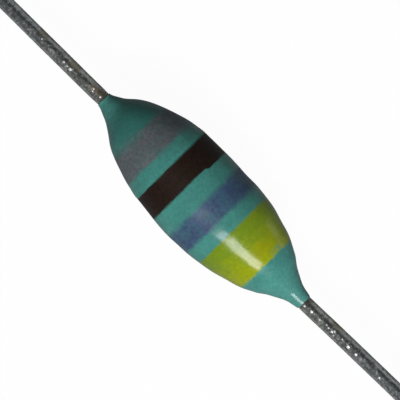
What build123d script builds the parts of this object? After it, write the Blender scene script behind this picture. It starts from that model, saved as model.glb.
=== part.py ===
from build123d import *
import os
from math import asin, degrees

# Axial inductor: a wound ferrite drum with two wire leads, dipped in lacquer and marked with four bands.
# The leads lie along X, the first band is towards -X, and the origin is at the middle of the body.

# Leads, in millimetres. Each root is drawn down a little inside the lacquer, to enter its bore easily.
overall_length = 64.0
lead_diameter = 0.60
lead_root_diameter = 0.56
lead_taper_length = 0.52
lead_tip_chamfer = 0.06

# Ferrite drum core
core_length = 6.0
flange_diameter = 2.60
flange_thickness = 0.90
window_depth = 0.55
rim_chamfer = 0.10
bore_depth = 1.10
bore_floor_gap = 0.05
adhesive_wall = 0.10
slot_width = 0.30

# Enamelled wire. The turns of one layer lie in the grooves of the layer below.
wire_diameter = 0.112
rim_recess = 0.04
layer_nesting = 0.866
tail_clearance = 0.01
tail_reach = 0.16

# Solder joints
solder_gap = 0.25
solder_length = 1.10
solder_peak = 0.45
solder_wall = 0.20

# Lacquer coat: a crown over the winding, a shoulder round each core end and a meniscus up each lead
lacquer_wall = 0.60
lacquer_run = 2.70
lacquer_film = 0.02
crown_radius = 13.3
crown_setback = 0.85
meniscus_radius = 1.89
winding_gap = 0.02

# Paint bands, counted from the -X end of the lacquer
paint_thickness = 0.03
lacquer_to_yellow = 2.22
yellow_width = 1.80
violet_width = 0.94
brown_width = 1.00
silver_width = 1.00
yellow_to_violet = 0.60
violet_to_brown = 0.86
brown_to_silver = 0.65

lead_radius = lead_diameter / 2
root_radius = lead_root_diameter / 2
flange_radius = flange_diameter / 2
waist_radius = flange_radius - window_depth
wire_radius = wire_diameter / 2
core_end = core_length / 2
window_end = core_end - flange_thickness
coat_end = core_end + lacquer_run
bore_radius = root_radius + adhesive_wall
outer_radius = flange_radius + lacquer_wall + paint_thickness

layer_pitch = wire_diameter * layer_nesting
winding_height = window_depth - rim_recess
layers = 1 + int((winding_height - wire_diameter) / layer_pitch)
outer_layer_radius = waist_radius + wire_radius + (layers - 1) * layer_pitch
winding_radius = outer_layer_radius + wire_radius


def coat_section(grow=0.0):
    """Half section of the lacquered body, moved outwards by the given amount."""
    crown_centre = Vector(0, flange_radius + lacquer_wall - crown_radius)
    crown_angle = degrees(asin((core_end - crown_setback) / crown_radius))
    crown_normal = Vector(1, 0).rotate(Axis.Z, 90 - crown_angle)
    crown_end = crown_centre + crown_normal * crown_radius

    # The shoulder's radius is the one that is tangent to both the crown and the meniscus.
    meniscus_centre = Vector(coat_end, lead_radius + lacquer_film + meniscus_radius)
    reach = meniscus_centre - crown_end
    shoulder_radius = (reach.dot(reach) - meniscus_radius**2) / (
        2 * (meniscus_radius - reach.dot(crown_normal))
    )
    shoulder_centre = crown_end - crown_normal * shoulder_radius
    join_angle = Vector(1, 0).get_angle(meniscus_centre - shoulder_centre)

    with BuildSketch(Plane.XZ) as section:
        with BuildLine():
            CenterArc(crown_centre, crown_radius + grow, 90 - crown_angle, crown_angle)
            CenterArc(shoulder_centre, shoulder_radius + grow, join_angle, 90 - crown_angle - join_angle)
            meniscus = CenterArc(meniscus_centre, meniscus_radius - grow, 180 + join_angle, 90 - join_angle)
            Polyline(meniscus @ 1, (coat_end, 0), (0, 0))
            mirror(about=Plane.YZ)
        make_face()
    return section.sketch


def make_lead(side):
    """One straight wire, from its root in the core's bore to its cut tip."""
    root = side * (core_end - bore_depth + bore_floor_gap)
    full = side * coat_end
    tip = side * overall_length / 2
    with BuildPart() as lead:
        with BuildSketch(Plane.XZ):
            with BuildLine():
                Polyline(
                    (root, 0),
                    (root, root_radius),
                    (full - side * lead_taper_length, root_radius),
                    (full, lead_radius),
                    (tip - side * lead_tip_chamfer, lead_radius),
                    (tip, lead_radius - lead_tip_chamfer),
                    (tip, 0),
                    close=True,
                )
            make_face()
        revolve(axis=Axis.X)
    return lead


def make_adhesive(side, lead):
    """The adhesive that fills the core's bore around the root of one lead."""
    with BuildPart() as adhesive:
        with BuildSketch(Plane.YZ.offset(side * core_end)):
            Circle(bore_radius)
        extrude(amount=-side * bore_depth)
        add(lead.part, mode=Mode.SUBTRACT)
    return adhesive


def make_tail(side, level):
    """One end of the winding wire, led out through a flange's slot and down to the lead."""
    start = window_end - wire_diameter
    bend = core_end + tail_reach
    end = core_end + solder_gap + solder_peak
    with BuildPart() as tail:
        with BuildLine(Plane.XZ) as route:
            Polyline((side * start, level), (side * bend, level), (side * end, root_radius + wire_diameter))
        with BuildSketch(Plane(origin=route.line @ 0, z_dir=route.line % 0)):
            Circle(wire_radius)
        sweep(transition=Transition.RIGHT)
    return tail


def make_solder(side, lead, tail):
    """The solder drop on one lead, with the end of the winding wire inside it."""
    near = side * (core_end + solder_gap)
    far = near + side * solder_length
    peak = near + side * solder_peak
    with BuildPart() as solder:
        with BuildSketch(Plane.XZ):
            with BuildLine():
                Polyline(
                    (near, 0),
                    (near, root_radius),
                    (peak, root_radius + solder_wall),
                    (far, root_radius),
                    (far, 0),
                    close=True,
                )
            make_face()
        revolve(axis=Axis.X)
        add(lead.part, mode=Mode.SUBTRACT)
        add(tail.part, mode=Mode.SUBTRACT)
    return solder


def coat_slice(start, end, grow=0.0):
    """The part of the body's half section between two places along the leads."""
    with BuildSketch(Plane.XZ) as section:
        add(coat_section(grow))
        with Locations((start, 0)):
            Rectangle(end - start, outer_radius, align=(Align.MIN, Align.MIN), mode=Mode.INTERSECT)
    return section.sketch


def make_band(start, end):
    """One ring of paint on the lacquer, which follows the body's outline."""
    with BuildPart() as band:
        with BuildSketch(Plane.XZ):
            add(coat_slice(start, end, paint_thickness))
            add(coat_section(), mode=Mode.SUBTRACT)
        revolve(axis=Axis.X)
    return band


with BuildPart() as drum_core:
    with BuildSketch(Plane.YZ):
        Circle(waist_radius)
    extrude(amount=core_end, both=True)
    for side in (-1, 1):
        with BuildSketch(Plane.YZ.offset(side * core_end)):
            Circle(flange_radius)
        extrude(amount=-side * flange_thickness)
    end_faces = drum_core.faces().sort_by(Axis.X)
    chamfer(end_faces.first.edges() + end_faces.last.edges(), rim_chamfer)
    for side in (-1, 1):
        with BuildSketch(Plane.YZ.offset(side * core_end)):
            Circle(bore_radius)
        extrude(amount=-side * bore_depth, mode=Mode.SUBTRACT)
        with BuildSketch(Plane.YZ.offset(side * core_end)):
            with Locations((0, waist_radius)):
                Rectangle(slot_width, flange_radius, align=(Align.CENTER, Align.MIN))
        extrude(amount=-side * flange_thickness, mode=Mode.SUBTRACT)

start_tail = make_tail(-1, waist_radius + wire_radius + tail_clearance)
finish_tail = make_tail(1, outer_layer_radius - tail_clearance)

with BuildPart() as winding:
    with BuildSketch(Plane.YZ):
        Circle(winding_radius)
        Circle(waist_radius, mode=Mode.SUBTRACT)
    extrude(amount=window_end, both=True)
    add(start_tail.part)
    add(finish_tail.part)

lead_left = make_lead(-1)
lead_right = make_lead(1)
lead_adhesive_left = make_adhesive(-1, lead_left)
lead_adhesive_right = make_adhesive(1, lead_right)
solder_joint_left = make_solder(-1, lead_left, start_tail)
solder_joint_right = make_solder(1, lead_right, finish_tail)

yellow_edge = -coat_end + lacquer_to_yellow
violet_edge = yellow_edge + yellow_width + yellow_to_violet
brown_edge = violet_edge + violet_width + violet_to_brown
silver_edge = brown_edge + brown_width + brown_to_silver
bands = {
    "band_1_yellow": (yellow_edge, yellow_edge + yellow_width),
    "band_2_violet": (violet_edge, violet_edge + violet_width),
    "band_3_brown": (brown_edge, brown_edge + brown_width),
    "band_4_silver": (silver_edge, silver_edge + silver_width),
}

# The coat is made of slices that stay apart on its surface, so each band lies on a face of its own.
cuts = [-coat_end, *(edge for edges in bands.values() for edge in edges), coat_end]
with BuildPart() as lacquer_coat:
    for start, end in zip(cuts, cuts[1:]):
        with BuildSketch(Plane.XZ):
            add(coat_slice(start, end))
        revolve(axis=Axis.X, clean=False)
    with BuildSketch(Plane.YZ):
        Circle(winding_radius + winding_gap)
    extrude(amount=window_end, both=True, mode=Mode.SUBTRACT, clean=False)
    for inner in (drum_core, lead_left, lead_right, lead_adhesive_left, lead_adhesive_right):
        add(inner.part, mode=Mode.SUBTRACT, clean=False)
    for inner in (start_tail, finish_tail, solder_joint_left, solder_joint_right):
        add(inner.part, mode=Mode.SUBTRACT, clean=False)

pieces = {
    "lacquer_coat": lacquer_coat,
    **{label: make_band(*edges) for label, edges in bands.items()},
    "drum_core": drum_core,
    "winding": winding,
    "lead_left": lead_left,
    "lead_right": lead_right,
    "lead_adhesive_left": lead_adhesive_left,
    "lead_adhesive_right": lead_adhesive_right,
    "solder_joint_left": solder_joint_left,
    "solder_joint_right": solder_joint_right,
}

os.makedirs("parts", exist_ok=True)
for label, piece in pieces.items():
    piece.part.label = label
    export_step(piece.part, f"parts/{label}.step")
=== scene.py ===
import bpy
from math import asin, cos, hypot, pi, radians, sin, tan
from mathutils import Matrix, Vector


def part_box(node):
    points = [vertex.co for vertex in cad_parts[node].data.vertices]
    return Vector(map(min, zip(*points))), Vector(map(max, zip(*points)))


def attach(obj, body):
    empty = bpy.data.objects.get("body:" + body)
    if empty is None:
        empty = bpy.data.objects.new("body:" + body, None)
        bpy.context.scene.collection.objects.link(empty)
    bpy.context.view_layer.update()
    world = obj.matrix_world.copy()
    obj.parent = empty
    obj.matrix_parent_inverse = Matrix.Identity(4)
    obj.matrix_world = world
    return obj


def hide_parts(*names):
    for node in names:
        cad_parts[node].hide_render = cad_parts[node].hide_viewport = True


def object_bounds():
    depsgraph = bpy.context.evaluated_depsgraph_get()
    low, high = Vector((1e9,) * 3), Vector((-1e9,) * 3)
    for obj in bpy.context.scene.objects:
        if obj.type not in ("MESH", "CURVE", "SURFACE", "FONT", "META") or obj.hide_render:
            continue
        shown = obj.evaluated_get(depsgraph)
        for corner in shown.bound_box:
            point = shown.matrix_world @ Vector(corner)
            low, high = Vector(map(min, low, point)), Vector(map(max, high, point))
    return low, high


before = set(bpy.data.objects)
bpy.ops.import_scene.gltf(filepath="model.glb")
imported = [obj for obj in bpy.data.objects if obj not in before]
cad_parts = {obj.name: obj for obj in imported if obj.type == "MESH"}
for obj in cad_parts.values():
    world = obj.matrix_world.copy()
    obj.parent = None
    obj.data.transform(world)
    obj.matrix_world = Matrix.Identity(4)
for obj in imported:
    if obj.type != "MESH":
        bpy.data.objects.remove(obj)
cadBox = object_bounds()
mm = 0.001
bpy.context.scene.view_settings.view_transform = "Standard"
print("frame loaded")

# The camera looks straight down on the leads, as in the photograph.
photo = {
    "pixel": 0.0382 * mm,  # one pixel, on the plane of the leads
    "pixelsAcross": 400,
    "bodyAt": (202.35, 198.41),  # where the middle of the body lies in the picture
    "leadAngle": 45.23,  # degrees between the leads and the picture's lower edge
    "lens": 400,
    "sensor": 36,
}


def addCamera():
    turn = radians(180 + photo["leadAngle"])
    right = Vector((cos(turn), sin(turn), 0))
    up = Vector((-sin(turn), cos(turn), 0))
    middle = photo["pixelsAcross"] / 2
    aim = right * (middle - photo["bodyAt"][0]) - up * (middle - photo["bodyAt"][1])
    distance = photo["pixelsAcross"] * photo["pixel"] * photo["lens"] / photo["sensor"]
    bpy.ops.object.camera_add(location=aim * photo["pixel"] + Vector((0, 0, distance)), rotation=(0, 0, turn))
    camera = bpy.context.object
    camera.data.lens = photo["lens"]
    camera.data.sensor_width = photo["sensor"]
    camera.data.clip_start = distance / 50
    camera.data.clip_end = distance * 30
    bpy.context.scene.camera = camera


addCamera()
print("camera set")


# Modelling helpers. Every piece is made with its object at the origin.
def deselectAll():
    if bpy.context.object and bpy.context.object.mode != "OBJECT":
        bpy.ops.object.mode_set(mode="OBJECT")
    bpy.ops.object.select_all(action="DESELECT")


def makeActive(piece):
    deselectAll()
    piece.select_set(True)
    bpy.context.view_layer.objects.active = piece


def selectVertices(piece, test):
    bpy.ops.object.mode_set(mode="EDIT")
    bpy.ops.mesh.select_mode(type="VERT")
    bpy.ops.mesh.select_all(action="DESELECT")
    bpy.ops.object.mode_set(mode="OBJECT")
    for vertex in piece.data.vertices:
        vertex.select = test(vertex.co)
    bpy.ops.object.mode_set(mode="EDIT")


def selectEdges(piece, test):
    bpy.ops.object.mode_set(mode="EDIT")
    bpy.ops.mesh.select_mode(type="EDGE")
    bpy.ops.mesh.select_all(action="DESELECT")
    bpy.ops.object.mode_set(mode="OBJECT")
    points = piece.data.vertices
    for edge in piece.data.edges:
        edge.select = test(points[edge.vertices[0]].co, points[edge.vertices[1]].co)
    bpy.ops.object.mode_set(mode="EDIT")


def applyModifier(piece, kind, **settings):
    makeActive(piece)
    modifier = piece.modifiers.new(kind, kind)
    for name, value in settings.items():
        setattr(modifier, name, value)
    bpy.ops.object.modifier_apply(modifier=modifier.name)


def weighVertices(piece, name, weigh):
    group = piece.vertex_groups.new(name=name)
    for vertex in piece.data.vertices:
        group.add([vertex.index], weigh(vertex.co), "REPLACE")


smoothAngle = radians(35)  # sharper edges than this stay crisp


def finishPiece(piece, material, slot, *nodes):
    makeActive(piece)
    piece.vertex_groups.clear()
    piece.data.materials.clear()
    piece.data.materials.append(material)
    bpy.ops.object.shade_smooth_by_angle(angle=smoothAngle)
    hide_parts(*nodes)
    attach(piece, "root")


def softStep(value, low, high):
    share = min(1, max(0, (value - low) / (high - low)))
    return share * share * (3 - 2 * share)


# The leads aren't quite straight: the whole part follows one gently waved line.
leadLine = {
    "reach": cadBox[1].x,
    "waves": [  # millimetres along the leads, and off their axis
        (-24, -0.12), (-18, -0.17), (-14, -0.16), (-11.5, -0.12), (-10.2, -0.092), (-8.8, -0.055),
        (-7.2, -0.015), (-6.2, 0.025), (-5.2, 0.045), (-4.2, 0.022), (-3.2, 0.022), (-2.2, 0.016),
        (-1.2, 0.026), (-0.4, 0.053), (0.4, 0.044), (1.1, -0.012), (2.0, -0.060), (3.2, -0.064),
        (4.1, -0.09), (4.7, -0.018), (5.4, 0.022), (7.2, 0.036), (9.0, 0.058), (10.8, 0.075),
        (14, 0.09), (18, 0.08), (24, 0.04),
    ],
}


def addLeadLine():
    data = bpy.data.curves.new("leadLine", "CURVE")
    data.dimensions = "3D"
    data.twist_mode = "Z_UP"
    data.resolution_u = 24
    spline = data.splines.new("NURBS")
    reach = leadLine["reach"]
    places = [(-reach, 0)] + [(x * mm, y * mm) for x, y in leadLine["waves"]] + [(reach, 0)]
    spline.points.add(len(places) - 1)
    for point, (x, y) in zip(spline.points, places):
        point.co = (x + reach, y, 0, 1)
    spline.order_u = 4
    spline.use_endpoint_u = True
    line = bpy.data.objects.new("leadLine", data)
    line.location.x = -reach
    bpy.context.collection.objects.link(line)
    bpy.context.view_layer.update()
    return line


waveLine = addLeadLine()

# Lacquer coat: a crown over the winding, a shoulder round each core end and a meniscus up each lead
coat = {
    "end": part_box("lacquer_coat")[1].x,
    "top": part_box("lacquer_coat")[1].z,
    "wire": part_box("lead_right")[1].z,
    "crownRadius": 13.3 * mm,
    "crownReach": 2.15 * mm,
    "meniscusRadius": 1.89 * mm,
    "film": 0.02 * mm,
    "leftEnd": 5.56 * mm,  # how far the lacquer runs up each lead
    "rightEnd": 5.37 * mm,
    "step": 0.07 * mm,
    "around": 128,
    "merge": 0.002 * mm,  # points closer than this are one
    "lip": 0.9,  # how far the lacquer closes on the wire, in wire radii
    "lump": 0.05 * mm,
    "lumpSize": 1.5 * mm,
    "lumpsFrom": (1.1, 2.5),  # wire radii off the axis: no lumps, and lumps in full
    "rimWander": 0.10 * mm,
    "rimWanderSize": 0.35 * mm,
    "rimFrom": 0.95,  # where its wander starts, as a share of the way to the rim
    "swells": [  # where the dip hung thicker or thinner, in millimetres: place, half width, height
        (3.85, 1.0, 0.042), (-2.75, 0.95, -0.048), (5.33, 0.4, -0.044), (-4.38, 0.4, -0.045),
        (-0.55, 0.6, -0.015), (1.87, 0.35, 0.018), (-5.35, 0.35, 0.014), (-5.6, 0.12, -0.016),
        (2.2, 1.6, 0.020), (-1.2, 0.9, 0.010), (-3.8, 0.6, -0.018),
    ],
}


def coatArcs():
    # centre (x, z), radius and turned angle of each arc, from the first band's end to the last band's
    top = Vector((0, coat["top"] - coat["crownRadius"]))
    crownHalf = asin(coat["crownReach"] / coat["crownRadius"])
    normal = Vector((sin(crownHalf), cos(crownHalf)))
    crownEnd = top + normal * coat["crownRadius"]
    meniscus = Vector((coat["end"], coat["wire"] + coat["film"] + coat["meniscusRadius"]))
    reach = meniscus - crownEnd
    shoulderRadius = (reach.dot(reach) - coat["meniscusRadius"] ** 2) / (
        2 * (coat["meniscusRadius"] - reach.dot(normal))
    )
    shoulder = crownEnd - normal * shoulderRadius
    join = (meniscus - shoulder).angle(Vector((0, 1)))
    leftTurn = join - asin((coat["end"] - coat["leftEnd"]) / coat["meniscusRadius"])
    rightTurn = join - asin((coat["end"] - coat["rightEnd"]) / coat["meniscusRadius"])
    return [
        (Vector((-meniscus.x, meniscus.y)), coat["meniscusRadius"], leftTurn),
        (Vector((-shoulder.x, shoulder.y)), shoulderRadius, crownHalf - join),
        (top, coat["crownRadius"], -2 * crownHalf),
        (shoulder, shoulderRadius, crownHalf - join),
        (meniscus, coat["meniscusRadius"], rightTurn),
    ]


def addCoat():
    arcs = coatArcs()
    centre, radius = arcs[0][:2]
    startAngle = asin((coat["end"] - coat["leftEnd"]) / coat["meniscusRadius"])
    deselectAll()
    bpy.ops.mesh.primitive_plane_add(size=coat["step"])
    piece = bpy.context.object
    piece.name = "lacquerSkin"
    bpy.ops.object.mode_set(mode="EDIT")
    bpy.ops.mesh.select_mode(type="VERT")
    bpy.ops.mesh.select_all(action="SELECT")
    bpy.ops.mesh.merge(type="CENTER")
    start = centre + Vector((sin(startAngle), -cos(startAngle))) * radius
    bpy.ops.transform.translate(value=(start.x, 0, start.y))
    for centre, radius, turn in arcs:
        steps = max(4, round(abs(turn) * radius / coat["step"]))
        bpy.ops.mesh.spin(steps=steps, angle=turn, center=(centre.x, 0, centre.y), axis=(0, 1, 0))
    bpy.ops.mesh.select_all(action="SELECT")
    bpy.ops.mesh.spin(steps=coat["around"], angle=2 * pi, center=(0, 0, 0), axis=(1, 0, 0))
    bpy.ops.mesh.select_all(action="SELECT")
    bpy.ops.mesh.remove_doubles(threshold=coat["merge"])
    for end in (-1, 1):  # the lip that closes the lacquer on the wire
        bpy.ops.object.mode_set(mode="OBJECT")
        edge = max(end * vertex.co.x for vertex in piece.data.vertices)
        selectVertices(piece, lambda co: end * co.x > edge - coat["merge"])
        bpy.ops.mesh.extrude_region_move()
        widest = max(v.co.yz for v in piece.data.vertices if end * v.co.x > edge - coat["merge"])
        shrink = coat["lip"] * coat["wire"] / hypot(*widest)
        bpy.ops.transform.resize(value=(1, shrink, shrink), center_override=(end * edge, 0, 0))
        bpy.ops.mesh.edge_face_add()
    bpy.ops.mesh.select_all(action="SELECT")
    bpy.ops.mesh.normals_make_consistent(inside=False)
    bpy.ops.object.mode_set(mode="OBJECT")
    return piece


def roughenCoat(piece):
    lumps = bpy.data.textures.new("lumps", "CLOUDS")
    lumps.noise_scale = coat["lumpSize"]
    lumps.noise_depth = 1
    wander = bpy.data.textures.new("rimWander", "CLOUDS")
    wander.noise_scale = coat["rimWanderSize"]
    bare, full = (coat["wire"] * share for share in coat["lumpsFrom"])
    weighVertices(piece, "body", lambda co: softStep(hypot(co.y, co.z), bare, full))
    rim = coat["rightEnd"]
    weighVertices(piece, "rims", lambda co: softStep(abs(co.x), rim * coat["rimFrom"], rim))
    for texture, strength, group, direction in (
        (lumps, coat["lump"], "body", "NORMAL"),
        (wander, coat["rimWander"], "rims", "X"),
    ):
        settings = {"strength": strength, "mid_level": 0.5, "vertex_group": group, "direction": direction}
        applyModifier(piece, "DISPLACE", texture=texture, **settings)
    for place, width, height in coat["swells"]:
        weighVertices(piece, "swell", lambda co: 1 - softStep(abs(co.x - place * mm), 0, width * mm))
        settings = {"strength": height * mm, "mid_level": 0, "vertex_group": "swell", "direction": "NORMAL"}
        applyModifier(piece, "DISPLACE", **settings)
        piece.vertex_groups.remove(piece.vertex_groups["swell"])
    applyModifier(piece, "CURVE", object=waveLine, deform_axis="POS_X")


lacquerSkin = addCoat()
roughenCoat(lacquerSkin)
print("lacquer coat modelled,", len(lacquerSkin.data.polygons), "faces")

# Paint bands: rings cut from the coat, each in a shallow bed, so that it runs flush with the lacquer.
# Each ring is a little wider than its paint, whose edge is ragged.
paint = {
    "film": 0.016 * mm,
    "bed": 0.018 * mm,
    "spare": {  # how much wider, at each side
        "band_1_yellow": 0.16 * mm,
        "band_2_violet": 0.24 * mm,
        "band_3_brown": 0.15 * mm,
        "band_4_silver": 0.36 * mm,
    },
}


def bandSpan(node):
    low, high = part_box(node)
    return low.x - paint["spare"][node], high.x + paint["spare"][node]


def cutAcross(place, keep=0):
    # a clean cut across the body, which clears what lies on one side of it
    bpy.ops.mesh.select_all(action="SELECT")
    sides = {"clear_inner": keep > 0, "clear_outer": keep < 0}
    bpy.ops.mesh.bisect(plane_co=(place, 0, 0), plane_no=(1, 0, 0), threshold=1e-7, **sides)


def addBand(node):
    start, end = bandSpan(node)
    makeActive(lacquerSkin)
    bpy.ops.object.duplicate()
    piece = bpy.context.object
    piece.name = node + "_paint"
    bpy.ops.object.mode_set(mode="EDIT")
    cutAcross(start, 1)
    cutAcross(end, -1)
    bpy.ops.object.mode_set(mode="OBJECT")
    applyModifier(piece, "SOLIDIFY", thickness=paint["film"], offset=-1)
    return piece


def sinkBed(node):
    start, end = bandSpan(node)
    makeActive(lacquerSkin)
    bpy.ops.object.mode_set(mode="EDIT")
    cutAcross(start)
    cutAcross(end)
    edge = 0.001 * mm
    selectVertices(lacquerSkin, lambda co: start - edge < co.x < end + edge)
    bpy.ops.mesh.extrude_region_shrink_fatten(TRANSFORM_OT_shrink_fatten={"value": -paint["bed"]})
    bpy.ops.object.mode_set(mode="OBJECT")


paintBands = {node: addBand(node) for node in paint["spare"]}
for node in paintBands:
    sinkBed(node)
print("paint bands cut,", sum(len(piece.data.polygons) for piece in paintBands.values()), "faces")

# Leads: drawn wire with an uneven coat of tin
lead = {
    "radius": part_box("lead_right")[1].z,
    "rootRadius": 0.28 * mm,
    "rootEnd": 5.18 * mm,
    "taperEnd": 5.70 * mm,
    "tipChamfer": 0.06 * mm,
    "tipTilt": 7,  # degrees
    "around": 40,
    "cut": 0.09 * mm,
    "tinLump": 0.012 * mm,
    "tinLumpSize": 0.35 * mm,
    "tipClear": (0.5, 1.5),  # wire radii from the tip: no lumps, and lumps in full
    "unbent": "unbent",  # attribute: each point's place, in millimetres, before the wire is bent
}


def addLead(node, side):
    low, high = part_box(node)
    root, tip = (low.x, high.x) if side > 0 else (high.x, low.x)
    deselectAll()
    bpy.ops.mesh.primitive_circle_add(vertices=lead["around"], radius=lead["rootRadius"], fill_type="NGON")
    piece = bpy.context.object
    piece.name = node + "_wire"
    bpy.ops.object.mode_set(mode="EDIT")
    bpy.ops.mesh.select_all(action="SELECT")
    bpy.ops.transform.rotate(value=pi / 2, orient_axis="Y", center_override=(0, 0, 0))
    bpy.ops.transform.translate(value=(root, 0, 0))
    grow = lead["radius"] / lead["rootRadius"]
    chamfer = (lead["radius"] - lead["tipChamfer"]) / lead["radius"]
    stations = [
        (side * lead["rootEnd"], 1),
        (side * lead["taperEnd"], grow),
        (tip - side * lead["tipChamfer"], 1),
        (tip, chamfer),
    ]
    x = root
    for station, scale in stations:
        if station == tip:  # the cutter left it askew
            pivot = (x, side * lead["radius"], 0)
            bpy.ops.transform.rotate(value=radians(lead["tipTilt"]), orient_axis="Z", center_override=pivot)
        bpy.ops.mesh.extrude_region_move(TRANSFORM_OT_translate={"value": (station - x, 0, 0)})
        bpy.ops.transform.resize(value=(1, scale, scale), center_override=(station, 0, 0))
        x = station
    long = abs(tip) - lead["taperEnd"] - 2 * lead["tipChamfer"]
    selectEdges(piece, lambda a, b: abs(a.x - b.x) > 0.9 * long)
    bpy.ops.mesh.subdivide(number_cuts=round(long / lead["cut"]))
    bpy.ops.mesh.select_all(action="SELECT")
    bpy.ops.mesh.normals_make_consistent(inside=False)
    bpy.ops.object.mode_set(mode="OBJECT")
    places = piece.data.attributes.new(lead["unbent"], "FLOAT_VECTOR", "POINT")
    for vertex, place in zip(piece.data.vertices, places.data):
        place.vector = vertex.co / mm
    lumps = bpy.data.textures.new("tinLumps", "CLOUDS")
    lumps.noise_scale = lead["tinLumpSize"]
    lumpsStart = (lead["taperEnd"], lead["taperEnd"] + lead["radius"])
    lumpsEnd = [lead["radius"] * share for share in lead["tipClear"]]
    weighVertices(
        piece, "tin", lambda co: softStep(abs(co.x), *lumpsStart) * softStep(abs(tip) - abs(co.x), *lumpsEnd)
    )
    settings = {"strength": lead["tinLump"], "mid_level": 0.5, "vertex_group": "tin"}
    applyModifier(piece, "DISPLACE", texture=lumps, **settings)
    applyModifier(piece, "CURVE", object=waveLine, deform_axis="POS_X")
    return piece


leads = {node: addLead(node, side) for node, side in (("lead_left", -1), ("lead_right", 1))}
bpy.data.objects.remove(waveLine)
print("leads drawn,", sum(len(piece.data.polygons) for piece in leads.values()), "faces")


# Material helpers. Patterns are laid out in millimetres, in the part's own frame.
def addNode(tree, kind, inputs={}, **settings):
    node = tree.nodes.new("ShaderNode" + kind)
    for name, value in settings.items():
        setattr(node, name, value)
    for name, value in inputs.items():
        if isinstance(value, bpy.types.NodeSocket):
            tree.links.new(value, node.inputs[name])
        else:
            node.inputs[name].default_value = value
    return node


def startMaterial(name, **sockets):
    material = bpy.data.materials.new(name)
    material.use_nodes = True
    tree = material.node_tree
    shader = next(node for node in tree.nodes if node.type == "BSDF_PRINCIPLED")
    for socket, value in sockets.items():
        shader.inputs[socket.replace("_", " ")].default_value = value
    return material, tree, shader


def placeInMillimetres(tree):
    place = addNode(tree, "TexCoord").outputs["Object"]
    return addNode(tree, "VectorMath", {0: place, "Scale": 1 / mm}, operation="SCALE").outputs[0]


def calculate(tree, operation, first, second=0.0, clamp=False):
    return addNode(tree, "Math", {0: first, 1: second}, operation=operation, use_clamp=clamp).outputs[0]


def multiply(tree, *values):
    product = values[0]
    for value in values[1:]:
        product = calculate(tree, "MULTIPLY", product, value)
    return product


def distanceFrom(tree, value, middle):
    return calculate(tree, "ABSOLUTE", calculate(tree, "SUBTRACT", value, middle))


def noise(tree, place, scale, detail=2.0, roughness=0.5):
    inputs = {"Vector": place, "Scale": scale, "Detail": detail, "Roughness": roughness}
    return addNode(tree, "TexNoise", inputs).outputs["Fac"]


def fade(tree, value, low, high, before=0.0, after=1.0):
    inputs = {"Value": value, "From Min": low, "From Max": high, "To Min": before, "To Max": after}
    return addNode(tree, "MapRange", inputs, interpolation_type="SMOOTHSTEP").outputs["Result"]


noiseSpan = (0.3, 0.7)  # where most of a noise's values lie


def spread(tree, value, low, high):
    # a noise, spread between two values
    return fade(tree, value, *noiseSpan, low, high)


def swing(tree, value, width):
    # a noise, swinging about nought
    return multiply(tree, calculate(tree, "SUBTRACT", value, 0.5), width)


def blendColours(tree, share, first, second, blendType="MIX"):
    node = addNode(tree, "Mix", data_type="RGBA", blend_type=blendType)
    for index, value in ((0, share), (6, first), (7, second)):
        if isinstance(value, bpy.types.NodeSocket):
            tree.links.new(value, node.inputs[index])
        else:
            node.inputs[index].default_value = value if index == 0 else (*value, 1)
    return node.outputs[2]


def blendValues(tree, share, first, second):
    return addNode(tree, "Mix", {0: share, 2: first, 3: second}, data_type="FLOAT").outputs[0]


def addBump(tree, shader, height, distance):
    bump = addNode(tree, "Bump", {"Height": height, "Distance": distance, "Strength": 1.0})
    tree.links.new(bump.outputs["Normal"], shader.inputs["Normal"])


# Lacquer: blue-green, cloudy where the dip ran thinner, with a faint orange peel and painted shade towards
# the last band's end
lacquer = {
    "colour": (0.064, 0.263, 0.226),
    "deep": (0.055, 0.236, 0.205),
    "thin": (0.083, 0.310, 0.266),
    "shadedEnd": (0.042, 0.182, 0.160),  # painted shade: darker towards the last band's end, where less light falls
    "rim": (0.088, 0.280, 0.250),  # where it thins out on the wires
    "cloud": {"scale": 0.9, "detail": 3},
    "deepCloud": (0.35, 0.65),  # from none to all of it
    "thinCloud": (0.55, 0.8, 0.0, 0.6),  # from none to a share of it
    "shadedEndAlong": (1.9, 3.7, 0.0, 0.85),  # the same, in millimetres from the middle
    "rimAlong": (3.8, 5.7, 0.0, 0.7),
    "mottle": 0.10,
    "specular": 0.33,
    "roughness": 0.19,
    "roughnessSpread": (-0.03, 0.05),
    "peel": 0.0035 * mm,
}
mottling = {"fine": {"scale": 8.0, "detail": 3, "roughness": 0.6}, "broad": {"scale": 2.8, "detail": 1}}


def mottled(tree, place, colour, amount):
    fine = spread(tree, noise(tree, place, **mottling["fine"]), 1 - amount, 1 + amount)
    broad = spread(tree, noise(tree, place, **mottling["broad"]), 1 - amount / 4, 1 + amount / 4)
    return blendColours(tree, 1.0, colour, multiply(tree, fine, broad), "MULTIPLY")


def lacquerColour(tree, place):
    cloud = noise(tree, place, **lacquer["cloud"])
    along = addNode(tree, "SeparateXYZ", {0: place}).outputs["X"]
    away = calculate(tree, "ABSOLUTE", along)
    body = blendColours(tree, fade(tree, cloud, *lacquer["deepCloud"]), lacquer["deep"], lacquer["colour"])
    body = blendColours(tree, fade(tree, cloud, *lacquer["thinCloud"]), body, lacquer["thin"])
    # painted shade: the lacquer darkens towards the last band's end
    body = blendColours(tree, fade(tree, along, *lacquer["shadedEndAlong"]), body, lacquer["shadedEnd"])
    body = blendColours(tree, fade(tree, away, *lacquer["rimAlong"]), body, lacquer["rim"])
    return mottled(tree, place, body, lacquer["mottle"])


def lacquerPeel(tree, place):
    coarse = noise(tree, place, 3.0, detail=1)
    fine = noise(tree, place, 14.0, detail=2)
    return calculate(tree, "ADD", coarse, multiply(tree, fine, 0.25))


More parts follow.
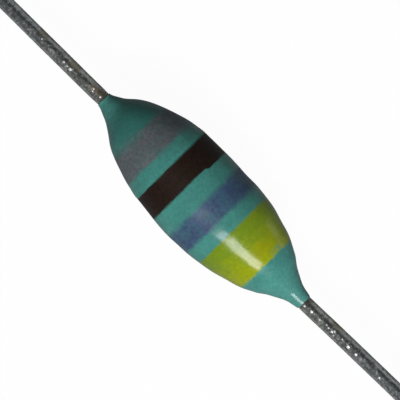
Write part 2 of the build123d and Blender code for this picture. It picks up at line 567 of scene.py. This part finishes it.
def makeLacquer():
    material, tree, shader = startMaterial("greenLacquer", Specular_IOR_Level=lacquer["specular"])
    place = placeInMillimetres(tree)
    tree.links.new(lacquerColour(tree, place), shader.inputs["Base Color"])
    smooth, rough = (lacquer["roughness"] + step for step in lacquer["roughnessSpread"])
    tree.links.new(spread(tree, noise(tree, place, 5.0), smooth, rough), shader.inputs["Roughness"])
    addBump(tree, shader, lacquerPeel(tree, place), lacquer["peel"])
    return material


# Paints: each has its colours, how well it covers, how soft and ragged its edges are, and its marks.
# Marks are placed in millimetres along the body and radians round it.
paints = {
    "band_1_yellow": {
        "slot": "paint_yellow", "specular": 0.31, "roughness": 0.17,
        "main": (0.171, 0.264, 0.012), "second": (0.286, 0.336, 0.005), "drift": -0.55,
        "cover": 1.0, "patchy": 0.0, "patchSize": 2.6, "mottle": 0.08,
        "soft": 0.065, "ragged": 0.065, "raggedSize": 5.0,
        "sheensAndSmears": [
            # the first is a painted reflection: a pale sheen where a dim light low on the -Y side would
            # mirror; the second is a gold patch in the paint
            {
                "middle": (-3.0, -0.80), "half": (0.8, 0.17),
                "share": (0.12, 0.48), "colour": (0.35, 0.42, 0.15),
            },
            {
                "middle": (-2.98, -0.20), "half": (0.31, 0.29),
                "share": (0.0, 0.8), "colour": (0.30, 0.30, 0.002),
            },
        ],
        "worn": {"middle": (-3.40, -0.48), "half": (0.20, 0.24), "share": (0.15, 0.55)},
    },
    "band_2_violet": {
        "slot": "paint_violet", "specular": 0.38, "roughness": 0.41,
        "main": (0.038, 0.053, 0.148), "second": (0.054, 0.091, 0.168), "drift": 0.0,
        "cover": 0.97, "patchy": 0.25, "patchSize": 2.4, "mottle": 0.19,
        "soft": 0.13, "ragged": 0.07, "raggedSize": 2.2,
    },
    "band_3_brown": {
        "slot": "paint_brown", "specular": 0.17, "roughness": 0.45,
        "main": (0.0158, 0.0082, 0.0054), "second": (0.0192, 0.0099, 0.0066), "drift": 0.0,
        "cover": 1.0, "patchy": 0.0, "patchSize": 3.0, "mottle": 0.22,
        "soft": 0.045, "ragged": 0.016, "raggedSize": 3.0,
        "jog": (-0.52, 0.10),  # how far round its first edge jogs, and by how much
    },
    "band_4_silver": {
        "slot": "paint_silver", "specular": 0.30, "roughness": 0.45,
        "main": (0.092, 0.098, 0.112), "second": (0.140, 0.134, 0.149), "drift": 0.0,
        "cover": 0.95, "patchy": 0.15, "patchSize": 2.8, "mottle": 0.17,
        "soft": 0.21, "ragged": 0.06, "raggedSize": 2.0,
        "beyond": (0.04, 0.09),  # how far its edges run out past the band
    },
}
brush = {
    "strokes": (1.0, 0.4, 0.4),  # tones run round the body
    "tone": {"scale": 6.5, "detail": 5, "roughness": 0.72},
    "toneSpan": (0.22, 0.80),
    "grain": {"scale": 11.0, "detail": 3},
    "roughnessSpread": (-0.05, 0.07),
    "edge": {"detail": 4, "roughness": 0.7},
    "edgeBlur": (0.35, 0.65, 0.4, 1.7),  # soft in some places and crisp in others
    "jogBlur": 0.06,
    "patch": {"detail": 4, "roughness": 0.6},
    "markCloud": {"scale": 3.5, "detail": 4, "roughness": 0.6},
    "markSpan": (0.35, 0.62),
    "markEdge": (0.3, 1.2),  # of its half size
}


def markShare(tree, place, mark):
    # a blurred, cloudy mark at one place on the body
    axes = addNode(tree, "SeparateXYZ", {0: place}).outputs
    angle = calculate(tree, "ARCTAN2", axes["Y"], axes["Z"])
    share = fade(tree, noise(tree, place, **brush["markCloud"]), *brush["markSpan"], *mark["share"])
    for value, middle, half in zip((axes["X"], angle), mark["middle"], mark["half"]):
        inner, outer = (half * edge for edge in brush["markEdge"])
        share = multiply(tree, share, fade(tree, distanceFrom(tree, value, middle), inner, outer, 1.0, 0.0))
    return share


def paintEdge(tree, along, edge, blur, before, after):
    low, high = (calculate(tree, operation, edge, blur) for operation in ("SUBTRACT", "ADD"))
    return fade(tree, along, low, high, before, after)


def bandCover(tree, place, node, look):
    # 1 where the paint lies, 0 on bare lacquer
    below, above = look.get("beyond", (0, 0))
    low, high = (corner.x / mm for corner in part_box(node))
    axes = addNode(tree, "SeparateXYZ", {0: place}).outputs
    wander = noise(tree, place, look["raggedSize"], **brush["edge"])
    along = calculate(tree, "ADD", axes["X"], swing(tree, wander, 4 * look["ragged"]))
    blur = fade(tree, noise(tree, place, 1.1, detail=1), *brush["edgeBlur"])
    blur = multiply(tree, blur, look["soft"])
    finish = paintEdge(tree, along, high + above, blur, 1.0, 0.0)
    if "jog" in look:
        turn, depth = look["jog"]
        angle = calculate(tree, "ARCTAN2", axes["Y"], axes["Z"])
        jog = fade(tree, angle, turn - brush["jogBlur"], turn + brush["jogBlur"], depth, 0.0)
        along = calculate(tree, "ADD", along, jog)
    start = paintEdge(tree, along, low - below, blur, 0.0, 1.0)
    patches = noise(tree, place, look["patchSize"], **brush["patch"])
    cover = spread(tree, patches, look["cover"] - look["patchy"], look["cover"])
    if "worn" in look:
        cover = calculate(tree, "SUBTRACT", cover, markShare(tree, place, look["worn"]))
    return calculate(tree, "MULTIPLY", multiply(tree, start, finish), cover, clamp=True)


def paintColour(tree, place, node, look):
    strokes = addNode(tree, "Mapping", {"Vector": place, "Scale": brush["strokes"]}).outputs[0]
    tone = noise(tree, strokes, **brush["tone"])
    if look["drift"]:  # the second colour gathers towards one edge
        low, high = (corner.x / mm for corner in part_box(node))
        along = fade(tree, addNode(tree, "SeparateXYZ", {0: place}).outputs["X"], low, high, -0.5, 0.5)
        tone = calculate(tree, "ADD", tone, multiply(tree, along, look["drift"]))
    tone = fade(tree, tone, *brush["toneSpan"])
    colour = mottled(tree, place, blendColours(tree, tone, look["main"], look["second"]), look["mottle"])
    # painted sheens and real smears, laid over the paint's colour
    for sheenAndSmear in look.get("sheensAndSmears", []):
        colour = blendColours(tree, markShare(tree, place, sheenAndSmear), colour, sheenAndSmear["colour"])
    return colour


def makePaint(node):
    look = paints[node]
    material, tree, shader = startMaterial(look["slot"] + "Look", Specular_IOR_Level=look["specular"])
    place = placeInMillimetres(tree)
    cover = bandCover(tree, place, node, look)
    colour = blendColours(tree, cover, lacquerColour(tree, place), paintColour(tree, place, node, look))
    tree.links.new(colour, shader.inputs["Base Color"])
    grain = noise(tree, place, **brush["grain"])
    smooth, rough = (look["roughness"] + step for step in brush["roughnessSpread"])
    gloss = blendValues(tree, cover, lacquer["roughness"], spread(tree, grain, smooth, rough))
    tree.links.new(gloss, shader.inputs["Roughness"])
    ridges = multiply(tree, cover, multiply(tree, grain, 0.5))
    addBump(tree, shader, calculate(tree, "ADD", lacquerPeel(tree, place), ridges), lacquer["peel"])
    return material


# Tinned wire: dull grey, warmer by the body, with a painted dark reflection along its top, painted sheen down
# its sides, specks and drops with painted glints, a darker patch past the lacquer, flux stains and bare
# copper on the cut tips. Places are in millimetres, and turns in radians off the wire's top.
tin = {
    "colour": (0.118, 0.127, 0.129),
    "dark": (0.078, 0.084, 0.085),
    "stretch": (0.45, 1, 1),  # blotches run along the wire
    "blotch": {"scale": 4.5, "detail": 4, "roughness": 0.6},
    "grain": {"scale": 9.0, "detail": 3, "roughness": 0.65},
    # painted reflection: paler down the wire's sides, where they would mirror the floor and surround
    "paleSheen": (0.56, 0.59, 0.60),
    "sheenTurns": [(-0.75, -0.25, 1.0), (1.0, 0.60, 0.40)],  # painted sheen on each side: turn of full sheen, of none, and how much
    "sheenUnder": (1.9, 2.8),  # where it fades out below
    "warm": (1.05, 1.0, 0.86),
    "warmReach": (6.5, 9.5),
    # painted reflection: a dark streak along the wire's top, where it would mirror the dark space above
    "streak": (0.048, 0.052, 0.050),
    "streakAt": -0.06,
    "streakEdge": (0.024, 0.096),
    "streakWander": 0.18,
    # painted glint: the specks and drops are white in colour, and also raised and smoother
    "glintSpeck": (0.90, 0.90, 0.90),
    "speckSize": 0.055,
    "speckCells": 4.6,  # to a millimetre
    "speckShare": 0.4,  # of the cells
    "drops": [  # along the wire, off its top, and radius
        (-5.65, 0.10, 0.045), (-5.99, 0.06, 0.055), (-6.42, 0.08, 0.036), (-6.75, 0.03, 0.032),
        (-6.89, 0.07, 0.038), (-7.08, 0.09, 0.050), (-7.14, 0.00, 0.042), (-7.22, 0.16, 0.032),
        (-7.57, 0.02, 0.034), (-7.93, 0.08, 0.068), (-8.34, 0.09, 0.052), (-9.60, 0.11, 0.046),
        (8.64, 0.00, 0.036), (7.43, 0.05, 0.046), (7.23, 0.08, 0.034), (7.06, 0.08, 0.060),
        (5.90, -0.03, 0.040), (5.87, 0.07, 0.038), (5.50, 0.03, 0.042),
    ],
    "dropsReach": 10.6,  # past this, specks take over
    # darker on the wire's -Y side just past the lacquer's end
    "neckDark": (0.060, 0.050, 0.030),
    "neckDarkAt": -0.4,
    "neckDarkReach": (5.60, 5.95),
    "stain": (0.25, 0.22, 0.15),
    "stains": [  # place, turn and half length
        (5.7, -0.25, 0.45), (7.0, -0.65, 0.35), (8.7, -0.8, 0.3), (-7.07, -0.85, 0.28),
    ],
    "copper": (0.40, 0.19, 0.11),
    "copperEdge": (0.215, 0.235),  # of the bare core, off the wire's axis
    "metal": 0.40,
    "specular": 0.2,
    "roughness": 0.58,
    "bump": 0.006 * mm,
}


def tinTone(tree, angle, away, blotch):
    colour = blendColours(tree, fade(tree, blotch, 0.35, 0.65), tin["colour"], tin["dark"])
    turn = calculate(tree, "ABSOLUTE", angle)
    # painted sheen down each side of the wire
    for full, none, share in tin["sheenTurns"]:
        near, far = (1.0, 0.0) if full < none else (0.0, 1.0)
        paleSheen = fade(tree, angle, min(full, none), max(full, none), near, far)
        under = fade(tree, turn, *tin["sheenUnder"], share, 0.0)
        paleSheen = multiply(tree, paleSheen, under, spread(tree, blotch, 1.0, 0.65))
        colour = blendColours(tree, paleSheen, colour, tin["paleSheen"])
    warm = fade(tree, away, *tin["warmReach"], 1.0, 0.0)
    warm = multiply(tree, warm, fade(tree, blotch, 0.3, 0.6, 1.0, 0.4))
    return blendColours(tree, warm, colour, tin["warm"], "MULTIPLY")


def streakTin(tree, colour, side, top, blotch, grain):
    # painted dark reflection along the top, then darker and paler grain
    streak = fade(tree, calculate(tree, "ABSOLUTE", side), *tin["streakEdge"], 1.0, 0.0)
    streak = multiply(tree, streak, top, fade(tree, blotch, 0.25, 0.5, 0.5, 1.0))
    colour = blendColours(tree, streak, colour, tin["streak"])
    colour = blendColours(tree, fade(tree, grain, 0.35, 0.52, 0.60, 0.0), colour, tin["streak"])
    return blendColours(tree, fade(tree, grain, 0.50, 0.70, 0.0, 0.38), colour, tin["paleSheen"])


def stainTin(tree, colour, along, angle, away, grain):
    stained = 0.0
    for place, turn, half in tin["stains"]:
        near = fade(tree, distanceFrom(tree, along, place), half * 0.5, half, 1.0, 0.0)
        turned = fade(tree, distanceFrom(tree, angle, turn), 0.2, 0.7, 1.0, 0.0)
        stained = calculate(tree, "MAXIMUM", stained, multiply(tree, near, turned))
    stained = multiply(tree, stained, fade(tree, grain, 0.35, 0.6, 0.35, 0.80))
    colour = blendColours(tree, stained, colour, tin["stain"])
    # darker on the -Y side just past the lacquer's end
    darkened = fade(tree, distanceFrom(tree, angle, tin["neckDarkAt"]), 0.3, 0.8, 0.7, 0.0)
    darkened = multiply(tree, darkened, fade(tree, away, *tin["neckDarkReach"], 1.0, 0.0))
    return blendColours(tree, darkened, colour, tin["neckDark"])


def brightSpecks(tree, place, side, top, away):
    # scattered specks far along the wires, and the drops nearer the body: raised and smoother, with painted
    # white glints
    cells = addNode(tree, "TexVoronoi", {"Vector": place, "Scale": tin["speckCells"]}).outputs
    chance = addNode(tree, "SeparateColor", {0: cells["Color"]}).outputs
    reach = fade(tree, chance[1], 0.0, 1.0, 0.5 * tin["speckSize"], 1.3 * tin["speckSize"])
    glintSpeck = calculate(tree, "DIVIDE", cells["Distance"], multiply(tree, reach, tin["speckCells"]))
    glintSpeck = fade(tree, glintSpeck, 0.5, 1.2, 1.0, 0.0)
    chosen = calculate(tree, "GREATER_THAN", chance[0], 1 - tin["speckShare"])
    beside = multiply(tree, fade(tree, side, -0.03, 0.04), fade(tree, side, 0.16, 0.22, 1.0, 0.0))
    beyond = fade(tree, away, tin["dropsReach"], tin["dropsReach"] + 0.5)
    glintSpeck = multiply(tree, glintSpeck, chosen, beside, top, beyond)
    for along, across, size in tin["drops"]:
        spot = (along, across, ((lead["radius"] / mm) ** 2 - across**2) ** 0.5)
        apart = addNode(tree, "VectorMath", {0: place, 1: spot}, operation="DISTANCE").outputs["Value"]
        drop = fade(tree, apart, size * 0.5, size * 1.4, min(1.0, size / tin["speckSize"]), 0.0)
        glintSpeck = calculate(tree, "MAXIMUM", glintSpeck, drop)
    return glintSpeck


def bareCopper(tree, place, away):
    # 1 on the core of a cut tip
    section = addNode(tree, "VectorMath", {0: place, 1: (0, 1, 1)}, operation="MULTIPLY").outputs[0]
    offAxis = addNode(tree, "VectorMath", {0: section}, operation="LENGTH").outputs["Value"]
    atTip = calculate(tree, "GREATER_THAN", away, 0.9 * leadLine["reach"] / mm)
    return multiply(tree, fade(tree, offAxis, *tin["copperEdge"], 1.0, 0.0), atTip)


def makeTin():
    sockets = {"Metallic": tin["metal"], "Specular_IOR_Level": tin["specular"]}
    material, tree, shader = startMaterial("tinnedWire", **sockets)
    place = addNode(tree, "Attribute", attribute_name=lead["unbent"]).outputs["Vector"]
    axes = addNode(tree, "SeparateXYZ", {0: place}).outputs
    angle = calculate(tree, "ARCTAN2", axes["Y"], axes["Z"])
    away = calculate(tree, "ABSOLUTE", axes["X"])
    top = calculate(tree, "GREATER_THAN", axes["Z"], 0.0)
    stretched = addNode(tree, "Mapping", {"Vector": place, "Scale": tin["stretch"]}).outputs[0]
    blotch = noise(tree, stretched, **tin["blotch"])
    grain = noise(tree, place, **tin["grain"])
    wander = swing(tree, noise(tree, stretched, 1.6, detail=3), tin["streakWander"])
    side = calculate(tree, "ADD", wander, calculate(tree, "SUBTRACT", axes["Y"], tin["streakAt"]))

    colour = tinTone(tree, angle, away, blotch)
    colour = streakTin(tree, colour, side, top, blotch, grain)
    colour = stainTin(tree, colour, axes["X"], angle, away, grain)
    glintSpeck = brightSpecks(tree, place, side, top, away)
    # painted glints on the specks and drops
    colour = blendColours(tree, glintSpeck, colour, tin["glintSpeck"])
    colour = blendColours(tree, bareCopper(tree, place, away), colour, tin["copper"])
    tree.links.new(colour, shader.inputs["Base Color"])
    dull = spread(tree, grain, tin["roughness"] + 0.05, tin["roughness"] - 0.05)
    tree.links.new(blendValues(tree, glintSpeck, dull, 0.3), shader.inputs["Roughness"])
    height = calculate(tree, "ADD", grain, calculate(tree, "ADD", blotch, multiply(tree, glintSpeck, 2.0)))
    addBump(tree, shader, height, tin["bump"])
    return material


greenLacquer = makeLacquer()
tinnedWire = makeTin()
finishPiece(lacquerSkin, greenLacquer, "lacquer_green", "lacquer_coat")
for node, piece in paintBands.items():
    finishPiece(piece, makePaint(node), paints[node]["slot"], node)
for node, piece in leads.items():
    finishPiece(piece, tinnedWire, "tinned_copper", node)
print("skins painted")

# What the lacquer hides keeps its CAD shape, with a finish of its own.
hidden = {
    "ferriteBody": {
        "nodes": ["drum_core"], "slot": "ferrite",
        "metal": 0.0, "roughness": 0.75,
        "main": (0.028, 0.027, 0.029), "second": (0.050, 0.048, 0.047), "size": 9.0, "bump": 0.006 * mm,
    },
    "setAdhesive": {
        "nodes": ["lead_adhesive_left", "lead_adhesive_right"], "slot": "adhesive",
        "metal": 0.0, "roughness": 0.4,
        "main": (0.32, 0.20, 0.07), "second": (0.42, 0.28, 0.11), "size": 4.0, "bump": 0.005 * mm,
    },
    "softSolder": {
        "nodes": ["solder_joint_left", "solder_joint_right"], "slot": "solder",
        "metal": 1.0, "roughness": 0.28,
        "main": (0.45, 0.45, 0.46), "second": (0.62, 0.62, 0.62), "size": 6.0, "bump": 0.006 * mm,
    },
}


def makeHidden(name, look):
    material, tree, shader = startMaterial(name, Metallic=look["metal"])
    grain = noise(tree, placeInMillimetres(tree), look["size"], detail=4, roughness=0.6)
    colour = blendColours(tree, fade(tree, grain, 0.35, 0.65), look["main"], look["second"])
    tree.links.new(colour, shader.inputs["Base Color"])
    gloss = spread(tree, grain, look["roughness"] - 0.06, look["roughness"] + 0.06)
    tree.links.new(gloss, shader.inputs["Roughness"])
    addBump(tree, shader, grain, look["bump"])
    return material


for name, look in hidden.items():
    material = makeHidden(name, look)
    for node in look["nodes"]:
        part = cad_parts[node]
        part.data.materials.clear()
        part.data.materials.append(material)

# Winding: a barrel of inner layers, the outer layer's turns, and the tails that run out through the slots
wire = {
    "radius": 0.056 * mm,
    "layer": 1.194 * mm,  # from the leads' axis to the middle of the outer layer's wire
    "waist": 0.752 * mm,
    "barrel": 1.15 * mm,
    "barrelEnd": 2.08 * mm,
    "end": 2.044 * mm,
    "turns": 36,
    "steps": 32,
    "around": 8,
    "merge": 0.0005 * mm,  # points closer than this are one
    "turnOut": 0.10 * mm,  # radius of the bend from the last turn into its slot
    "bend": 3.16 * mm,
    "bendRadius": 0.15 * mm,
    "tailEnd": (3.70 * mm, 0.392 * mm),  # in the solder
    "startLevel": 0.816 * mm,
    "finishLevel": 1.184 * mm,
}
enamel = {
    "main": (0.42, 0.12, 0.03), "second": (0.55, 0.18, 0.05), "metal": 0.3, "roughness": 0.30,
    "size": 5.0, "bump": 0.004 * mm,
}


def startRing(name, radius, vertices, place, turnAxis):
    deselectAll()
    bpy.ops.mesh.primitive_circle_add(vertices=vertices, radius=radius)
    piece = bpy.context.object
    piece.name = name
    bpy.ops.object.mode_set(mode="EDIT")
    bpy.ops.mesh.select_all(action="SELECT")
    bpy.ops.transform.rotate(value=pi / 2, orient_axis=turnAxis, center_override=(0, 0, 0))
    bpy.ops.transform.translate(value=place)
    return piece


def leadOut(side, x, z, level):
    # draws the selected ring along the leads, round one bend and down to the solder
    drop = Vector((wire["tailEnd"][0] - wire["bend"], wire["tailEnd"][1] - level))
    turn = drop.angle(Vector((1, 0)))
    setback = wire["bendRadius"] * tan(turn / 2)
    straight = side * (wire["bend"] - setback)
    bpy.ops.mesh.extrude_region_move(TRANSFORM_OT_translate={"value": (straight - x, 0, level - z)})
    centre = (straight, 0, level - wire["bendRadius"])
    bpy.ops.mesh.spin(steps=6, angle=-side * turn, center=centre, axis=(0, 1, 0))
    rest = drop * (1 - setback / drop.length)
    bpy.ops.mesh.extrude_region_move(TRANSFORM_OT_translate={"value": (side * rest.x, 0, rest.y)})


def addOuterLayer():
    height = (wire["layer"] ** 2 - wire["turnOut"] ** 2) ** 0.5
    start = (-wire["end"], wire["turnOut"], height)
    piece = startRing("windingTurns", wire["radius"], wire["around"], start, "X")
    bpy.ops.object.mode_set(mode="OBJECT")
    pitch = 2 * wire["end"] / wire["turns"]
    applyModifier(piece, "SCREW", axis="X", screw_offset=pitch, iterations=wire["turns"], steps=wire["steps"])
    inner = wire["end"] - 1.01 * wire["radius"]
    selectVertices(
        piece, lambda co: co.x > inner and co.z > 0 and abs(co.y - wire["turnOut"]) < wire["merge"]
    )
    middle = wire["end"] + wire["turnOut"]
    bpy.ops.mesh.spin(steps=6, angle=-pi / 2, center=(middle, wire["turnOut"], 0), axis=(0, 0, 1))
    leadOut(1, middle, height, wire["finishLevel"])
    return piece


def addStartTail():
    root, level = -wire["barrelEnd"] * 0.95, wire["startLevel"]  # inside the barrel
    piece = startRing("startTail", wire["radius"], wire["around"], (root, 0, level), "Y")
    leadOut(-1, root, level, level)
    return piece


def addBarrel():
    piece = startRing("barrel", wire["waist"], 48, (-wire["barrelEnd"], 0, 0), "Y")
    grow = wire["barrel"] / wire["waist"]
    for end, scale in ((-1, grow), (1, 1 / grow)):
        centre = (end * wire["barrelEnd"], 0, 0)
        bpy.ops.mesh.extrude_region_move()
        bpy.ops.transform.resize(value=(1, scale, scale), center_override=centre)
        bpy.ops.mesh.extrude_region_move(TRANSFORM_OT_translate={"value": (-2 * centre[0], 0, 0)})
    bpy.ops.mesh.select_all(action="SELECT")
    bpy.ops.mesh.remove_doubles(threshold=wire["merge"])
    return piece


def addWinding():
    layers = [addBarrel(), addStartTail(), addOuterLayer()]
    deselectAll()
    for piece in layers:
        piece.select_set(True)
    bpy.context.view_layer.objects.active = piece
    bpy.ops.object.join()
    bpy.ops.object.mode_set(mode="EDIT")
    bpy.ops.mesh.select_all(action="SELECT")
    bpy.ops.mesh.fill_holes(sides=0)
    bpy.ops.mesh.select_all(action="SELECT")
    bpy.ops.mesh.normals_make_consistent(inside=False)
    bpy.ops.object.mode_set(mode="OBJECT")
    return piece


winding = addWinding()
finishPiece(winding, makeHidden("enamelWire", enamel), "enamelled_wire", "winding")
print("hidden parts finished, winding", len(winding.data.polygons), "faces")

# Studio: a pale floor that the body rests on, one softbox and a plain surround
studio = {
    "floorDrop": 0.015 * mm,
    "floorRadius": 1.6,
    "floorInset": 0.3,  # of its radius
    "floorTone": (0.190, 0.215, 0.225),
    "seenTone": (0.90, 0.90, 0.90),  # the same paper as the camera sees it
    "shadowShare": 0.035,  # how much of that paper's shading shows in its white
    "glossShare": 0.07,  # how much of that white shows in gloss and metal
    "lampDistance": 0.30,
    "lampLean": (-33.5, 26.2),  # degrees off the zenith, along the leads and across them
    "lampSpan": (31, 24.5),
    "lampRadiance": 14.4,
    "zenith": 0.10,
    "horizon": 0.12,
    "tilt": (-0.5, -0.12),  # how much brighter the surround is towards +X and +Y
}


def addFloor():
    deselectAll()
    bpy.ops.mesh.primitive_circle_add(vertices=96, radius=studio["floorRadius"], fill_type="NGON")
    floor = bpy.context.object
    floor.name = "floor"
    bpy.ops.object.mode_set(mode="EDIT")
    bpy.ops.mesh.select_all(action="SELECT")
    bpy.ops.transform.translate(value=(0, 0, cadBox[0].z - studio["floorDrop"]))
    bpy.ops.mesh.inset(thickness=studio["floorRadius"] * studio["floorInset"])
    bpy.ops.object.mode_set(mode="OBJECT")
    material = bpy.data.materials.new("paleFloor")
    material.use_nodes = True
    tree = material.node_tree
    tree.nodes.clear()
    path = addNode(tree, "LightPath")
    tone = blendColours(tree, path.outputs["Is Camera Ray"], studio["floorTone"], studio["seenTone"])
    paper = addNode(tree, "BsdfDiffuse", {"Color": tone})
    white = addNode(tree, "Emission", {"Color": (1, 1, 1, 1), "Strength": 1.0})
    mirrored = calculate(tree, "MAXIMUM", path.outputs["Is Glossy Ray"], path.outputs["Is Transmission Ray"])
    seen = multiply(tree, path.outputs["Is Camera Ray"], 1 - studio["shadowShare"])
    seen = calculate(tree, "ADD", seen, multiply(tree, mirrored, studio["glossShare"]))
    mixed = addNode(tree, "MixShader", {0: seen, 1: paper.outputs[0], 2: white.outputs[0]})
    addNode(tree, "OutputMaterial", {"Surface": mixed.outputs[0]})
    floor.data.materials.append(material)


def addLamp():
    lean = [tan(radians(angle)) for angle in studio["lampLean"]]
    towards = Vector((lean[0], lean[1], 1)).normalized()
    sizes = [2 * studio["lampDistance"] * tan(radians(span / 2)) for span in studio["lampSpan"]]
    bpy.ops.object.light_add(type="AREA", location=towards * studio["lampDistance"])
    lamp = bpy.context.object
    lamp.data.shape = "RECTANGLE"
    lamp.data.size, lamp.data.size_y = sizes
    lamp.data.energy = studio["lampRadiance"] * pi * sizes[0] * sizes[1]
    side = Vector((1, 0, 0)).cross(towards).normalized()  # the lamp's long side runs with the leads
    lamp.rotation_euler = Matrix((-side.cross(towards), -side, towards)).transposed().to_euler()
    lamp.visible_camera = False


def lightSurround():
    world = bpy.data.worlds.new("surround")
    bpy.context.scene.world = world
    world.use_nodes = True
    tree = world.node_tree
    tree.nodes.clear()
    direction = addNode(tree, "SeparateXYZ", {0: addNode(tree, "TexCoord").outputs["Generated"]}).outputs
    height = fade(tree, direction["Z"], 0.0, 0.9, studio["horizon"], studio["zenith"])
    side = multiply(tree, direction["X"], studio["tilt"][0])
    side = calculate(tree, "ADD", side, multiply(tree, direction["Y"], studio["tilt"][1]))
    level = multiply(tree, height, calculate(tree, "ADD", side, 1.0))
    path = addNode(tree, "LightPath")
    level = blendValues(tree, path.outputs["Is Camera Ray"], level, 1.0)
    background = addNode(tree, "Background", {"Color": (1, 1, 1, 1), "Strength": level})
    addNode(tree, "OutputWorld", {"Surface": background.outputs[0]})


addFloor()
addLamp()
lightSurround()
print("studio lit")
